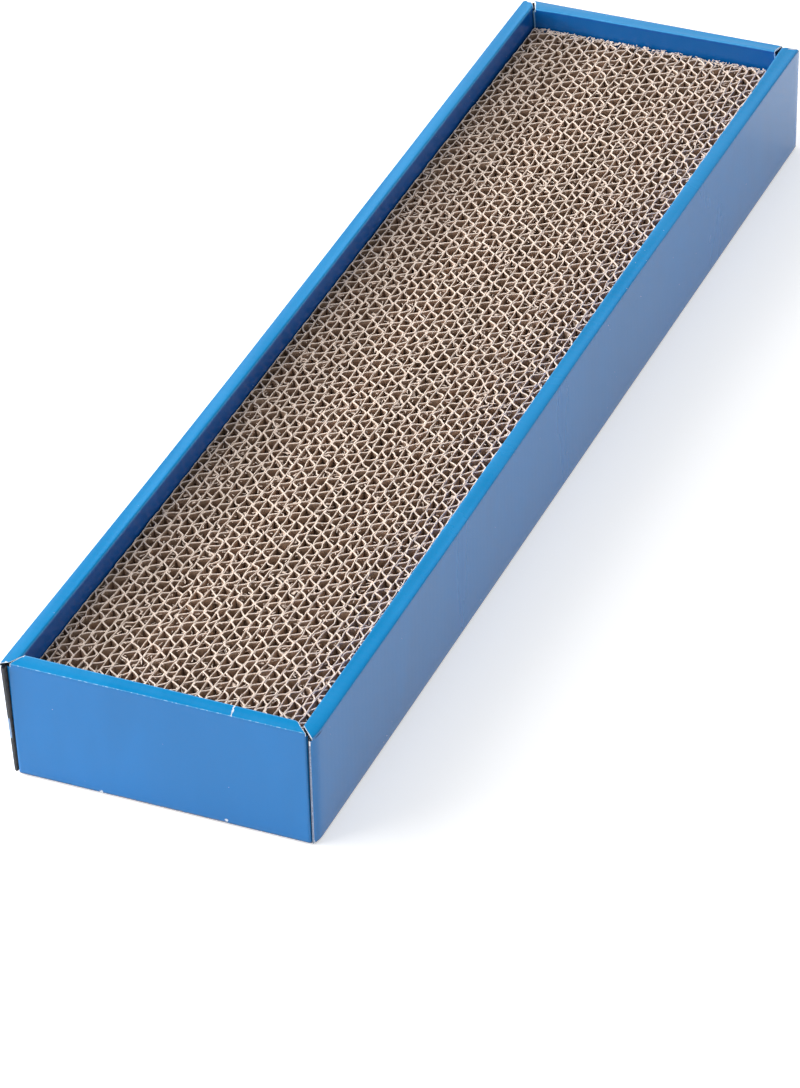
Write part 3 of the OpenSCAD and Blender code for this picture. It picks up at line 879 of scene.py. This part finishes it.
# One strip: three liners and two flutes, each with its own pitch, drift and damage. A flute lies flat on
# one liner, crosses on a straight slanting leg, lies flat on the other and crosses back on a longer leg;
# the corners are eased by mixing in the cubic 3w^2 - 2w^3.
def stripShape(k):
    g = np.random.default_rng(pad["seed"] + pad["seedStep"] * k)
    shells = Shells()
    liner, middle, flute = pad["liner"], pad["middle"], pad["flute"]
    seams = pad["first"] + pad["pitch"] * np.array([k, k + 1])
    left, right = seams + np.interp(seams, *pad["drift"])
    squeeze = g.uniform(*pad["squeeze"])
    room, width = right - left - 2 * liner - middle, right - left
    low = room * pad["low"] / (pad["low"] + pad["high"]) + squeeze
    high = room - low
    near = pad["near"] + (pad["lastNear"] if k == pad["strips"] - 1 else g.uniform(*pad["nearUneven"]))
    far = pad["far"]
    y = np.linspace(near, far, pad["points"])
    (swayA, leanA), (swayB, leanB) = seamDrift(k, y), seamDrift(k + 1, y)
    swayMid = sum(smoothNoise(g, y, *pair) for pair in waver["middle"])
    harm = battered(g, y, waver["harm"])
    leanMid = np.clip(smoothNoise(g, y, *waver["middleLean"]) * harm, -pad["middleLean"], pad["middleLean"])
    for at, thick, sway, lean in ((liner / 2, liner, swayA, leanA),
                                  (liner + low + middle / 2, middle, swayMid, leanMid),
                                  (width - liner / 2, liner, swayB, leanB)):
        topZ = pad["top"] + smoothNoise(g, y, *waver["linerTop"]) + pad["linerTop"]
        ends = y + (y > far - pad["endReach"]) * g.uniform(*pad["endUneven"])
        sheetShell(shells, left + at + sway, ends, thick, pad["linerWidths"], topZ, lean,
                   g.uniform(*pad["tints"]))
    legs = np.array(pad["legs"])
    lowFlute, highFlute = pad["flutes"][2 * k:2 * k + 2]
    for at, room, (pitch, start), swayL, swayR in (
            (liner, low, lowFlute, swayA, swayMid), (liner + low + middle, high, highFlute, swayMid, swayB)):
        turns = int((far - near) / pitch) + 3
        phase = np.concatenate([legs + t for t in range(turns)])
        yf = near - pad["lead"] * pitch + start + phase * pitch + smoothNoise(g, phase, *waver["flute"])
        inside = (yf > near) & (yf < far - g.uniform(*pad["farUneven"]))
        phase, yf = phase[inside], yf[inside]
        wave = np.interp(phase % 1.0, pad["corners"], (0, 0, 1, 1, 0, 0))
        wave = wave * (1 - pad["roundness"]) + (3 * wave ** 2 - 2 * wave ** 3) * pad["roundness"]
        first = left + at + np.interp(yf, y, swayL) + flute / 2
        last = left + at + room + np.interp(yf, y, swayR) - flute / 2
        topZ = pad["top"] + smoothNoise(g, phase, *waver["fluteTop"]) + pad["fluteTop"]
        worn = battered(g, yf, waver["worn"])
        free = 1 - np.abs(2 * wave - 1) ** 3  # the crests are glued down, the legs can bend
        lean = np.clip(smoothNoise(g, phase, *waver["fluteLean"]) * worn, -pad["fluteLean"], pad["fluteLean"])
        sheetShell(shells, first + (last - first) * wave, yf, flute, pad["fluteWidths"], topZ,
                   lean * (pad["glued"] + (1 - pad["glued"]) * free), g.uniform(*pad["tints"]))
    allAlong, edge = (near + pad["rootsNear"], far - pad["rootsFar"]), pad["rootsSide"]
    for kind, reach in (("wisps", allAlong), ("scraps", allAlong), ("ends", (far - pad["endsFrom"], far))):
        look, count = fibres[kind], pad[kind]
        roots = np.stack([left + g.uniform(edge, pad["pitch"] - edge, count), g.uniform(*reach, count),
                          pad["top"] - g.uniform(*look["at"], count)], -1)
        ribbons(shells, g, roots, look)
    shells.piece(f"padStrip{k + 1:02d}", [paperFinish], "pad", [f"strip_{k + 1:02d}"])


for k in range(pad["strips"]):
    stripShape(k)
print("pad made")

# levels of the world: behind and before give the low sky's level at its left and right, which fades out
# between the sines of height in edge; a brighter backdrop stands low behind at the left; roof is above
studio = {
    "floor": 4.0, "floorTone": 0.85, "floorGlow": 0.49, "floorDrop": -0.0004,
    "behind": (0.60, 0.70), "before": (0.38, 0.72), "edge": (0.52, 0.64),
    "backdrop": 0.5, "backdropEdge": (0.43, 0.62), "middle": 0.01, "above": 1.05, "roof": (0.78, 0.98),
    "toRight": (-0.5, 0.5), "toBack": (-0.4, 0.4),
    "lamps": {
        "key": {"from": (-0.78, -0.34, 0.54), "away": 2.6, "size": (2.76, 2.76), "power": 77.5},
        "low": {"from": (-0.956, 0.0, 0.29), "away": 1.6, "size": (0.9, 0.20), "power": 21.6},
    },
}


# A pale floor that shows near white, and still takes the object's shadow.
def whiteFloor(look):
    f = newFinish("whiteFloor")
    path = f.node("LightPath")
    seen = [Sum(f, path.outputs[name]) for name in ("Is Camera Ray", "Is Glossy Ray", "Is Transmission Ray")]
    matte = f.get("BsdfDiffuse", {}, {"Color": (look["floorTone"],) * 3})
    level = seen[0].most(seen[1]).most(seen[2]) * look["floorGlow"]
    glow = f.get("Emission", {}, {"Color": (1.0, 1.0, 1.0), "Strength": level})
    f.node("OutputMaterial", {}, {"Surface": f.get("AddShader", {}, {0: matte, 1: glow})})
    return f.holder


def addFloor(look):
    s = look["floor"]
    mesh = bpy.data.meshes.new("studioFloor")
    mesh.from_pydata([(-s, -s, 0), (s, -s, 0), (s, s, 0), (-s, s, 0)], [], [(0, 1, 2, 3)])
    mesh.materials.append(whiteFloor(look))
    floor = bpy.data.objects.new("studioFloor", mesh)
    floor.location.z = look["floorDrop"]
    bpy.context.scene.collection.objects.link(floor)


def addLamp(name, lamp):
    direction = Vector(lamp["from"]).normalized()
    data = bpy.data.lights.new(name, "AREA")
    data.shape, data.energy = "RECTANGLE", lamp["power"]
    data.size, data.size_y = lamp["size"]
    light = bpy.data.objects.new(name, data)
    turn = direction.to_track_quat("Z", "Y").to_matrix().to_4x4()
    light.matrix_world = Matrix.Translation(direction * lamp["away"]) @ turn
    bpy.context.scene.collection.objects.link(light)


# The world's level depends on the direction alone: low sky, backdrop, and a pale ceiling.
def addSky(look):
    f = Finish(bpy.data.worlds.new("studioWorld"))
    x, y, z = f.axes(f.get("TexCoord", output="Generated"))
    rightward, backward = f.fade(x, *look["toRight"]), f.fade(y, *look["toBack"])
    (backLeft, backRight), (frontLeft, frontRight) = look["behind"], look["before"]
    behind = rightward * (backRight - backLeft) + backLeft
    before = rightward * (frontRight - frontLeft) + frontLeft
    low = (behind * backward + before * (1 - backward)) * f.fade(z, *look["edge"], 1.0, 0.0)
    backdrop = backward * (1 - rightward) * f.fade(z, *look["backdropEdge"], look["backdrop"], 0.0)
    level = low + backdrop + look["middle"] + f.fade(z, *look["roof"], 0.0, look["above"])
    background = f.get("Background", {}, {"Color": (1.0, 1.0, 1.0), "Strength": level})
    f.node("OutputWorld", {}, {"Surface": background})
    bpy.context.scene.world = f.holder


addFloor(studio)
for name, lamp in studio["lamps"].items():
    addLamp(name + "Lamp", lamp)
addSky(studio)
print("floor and light placed")
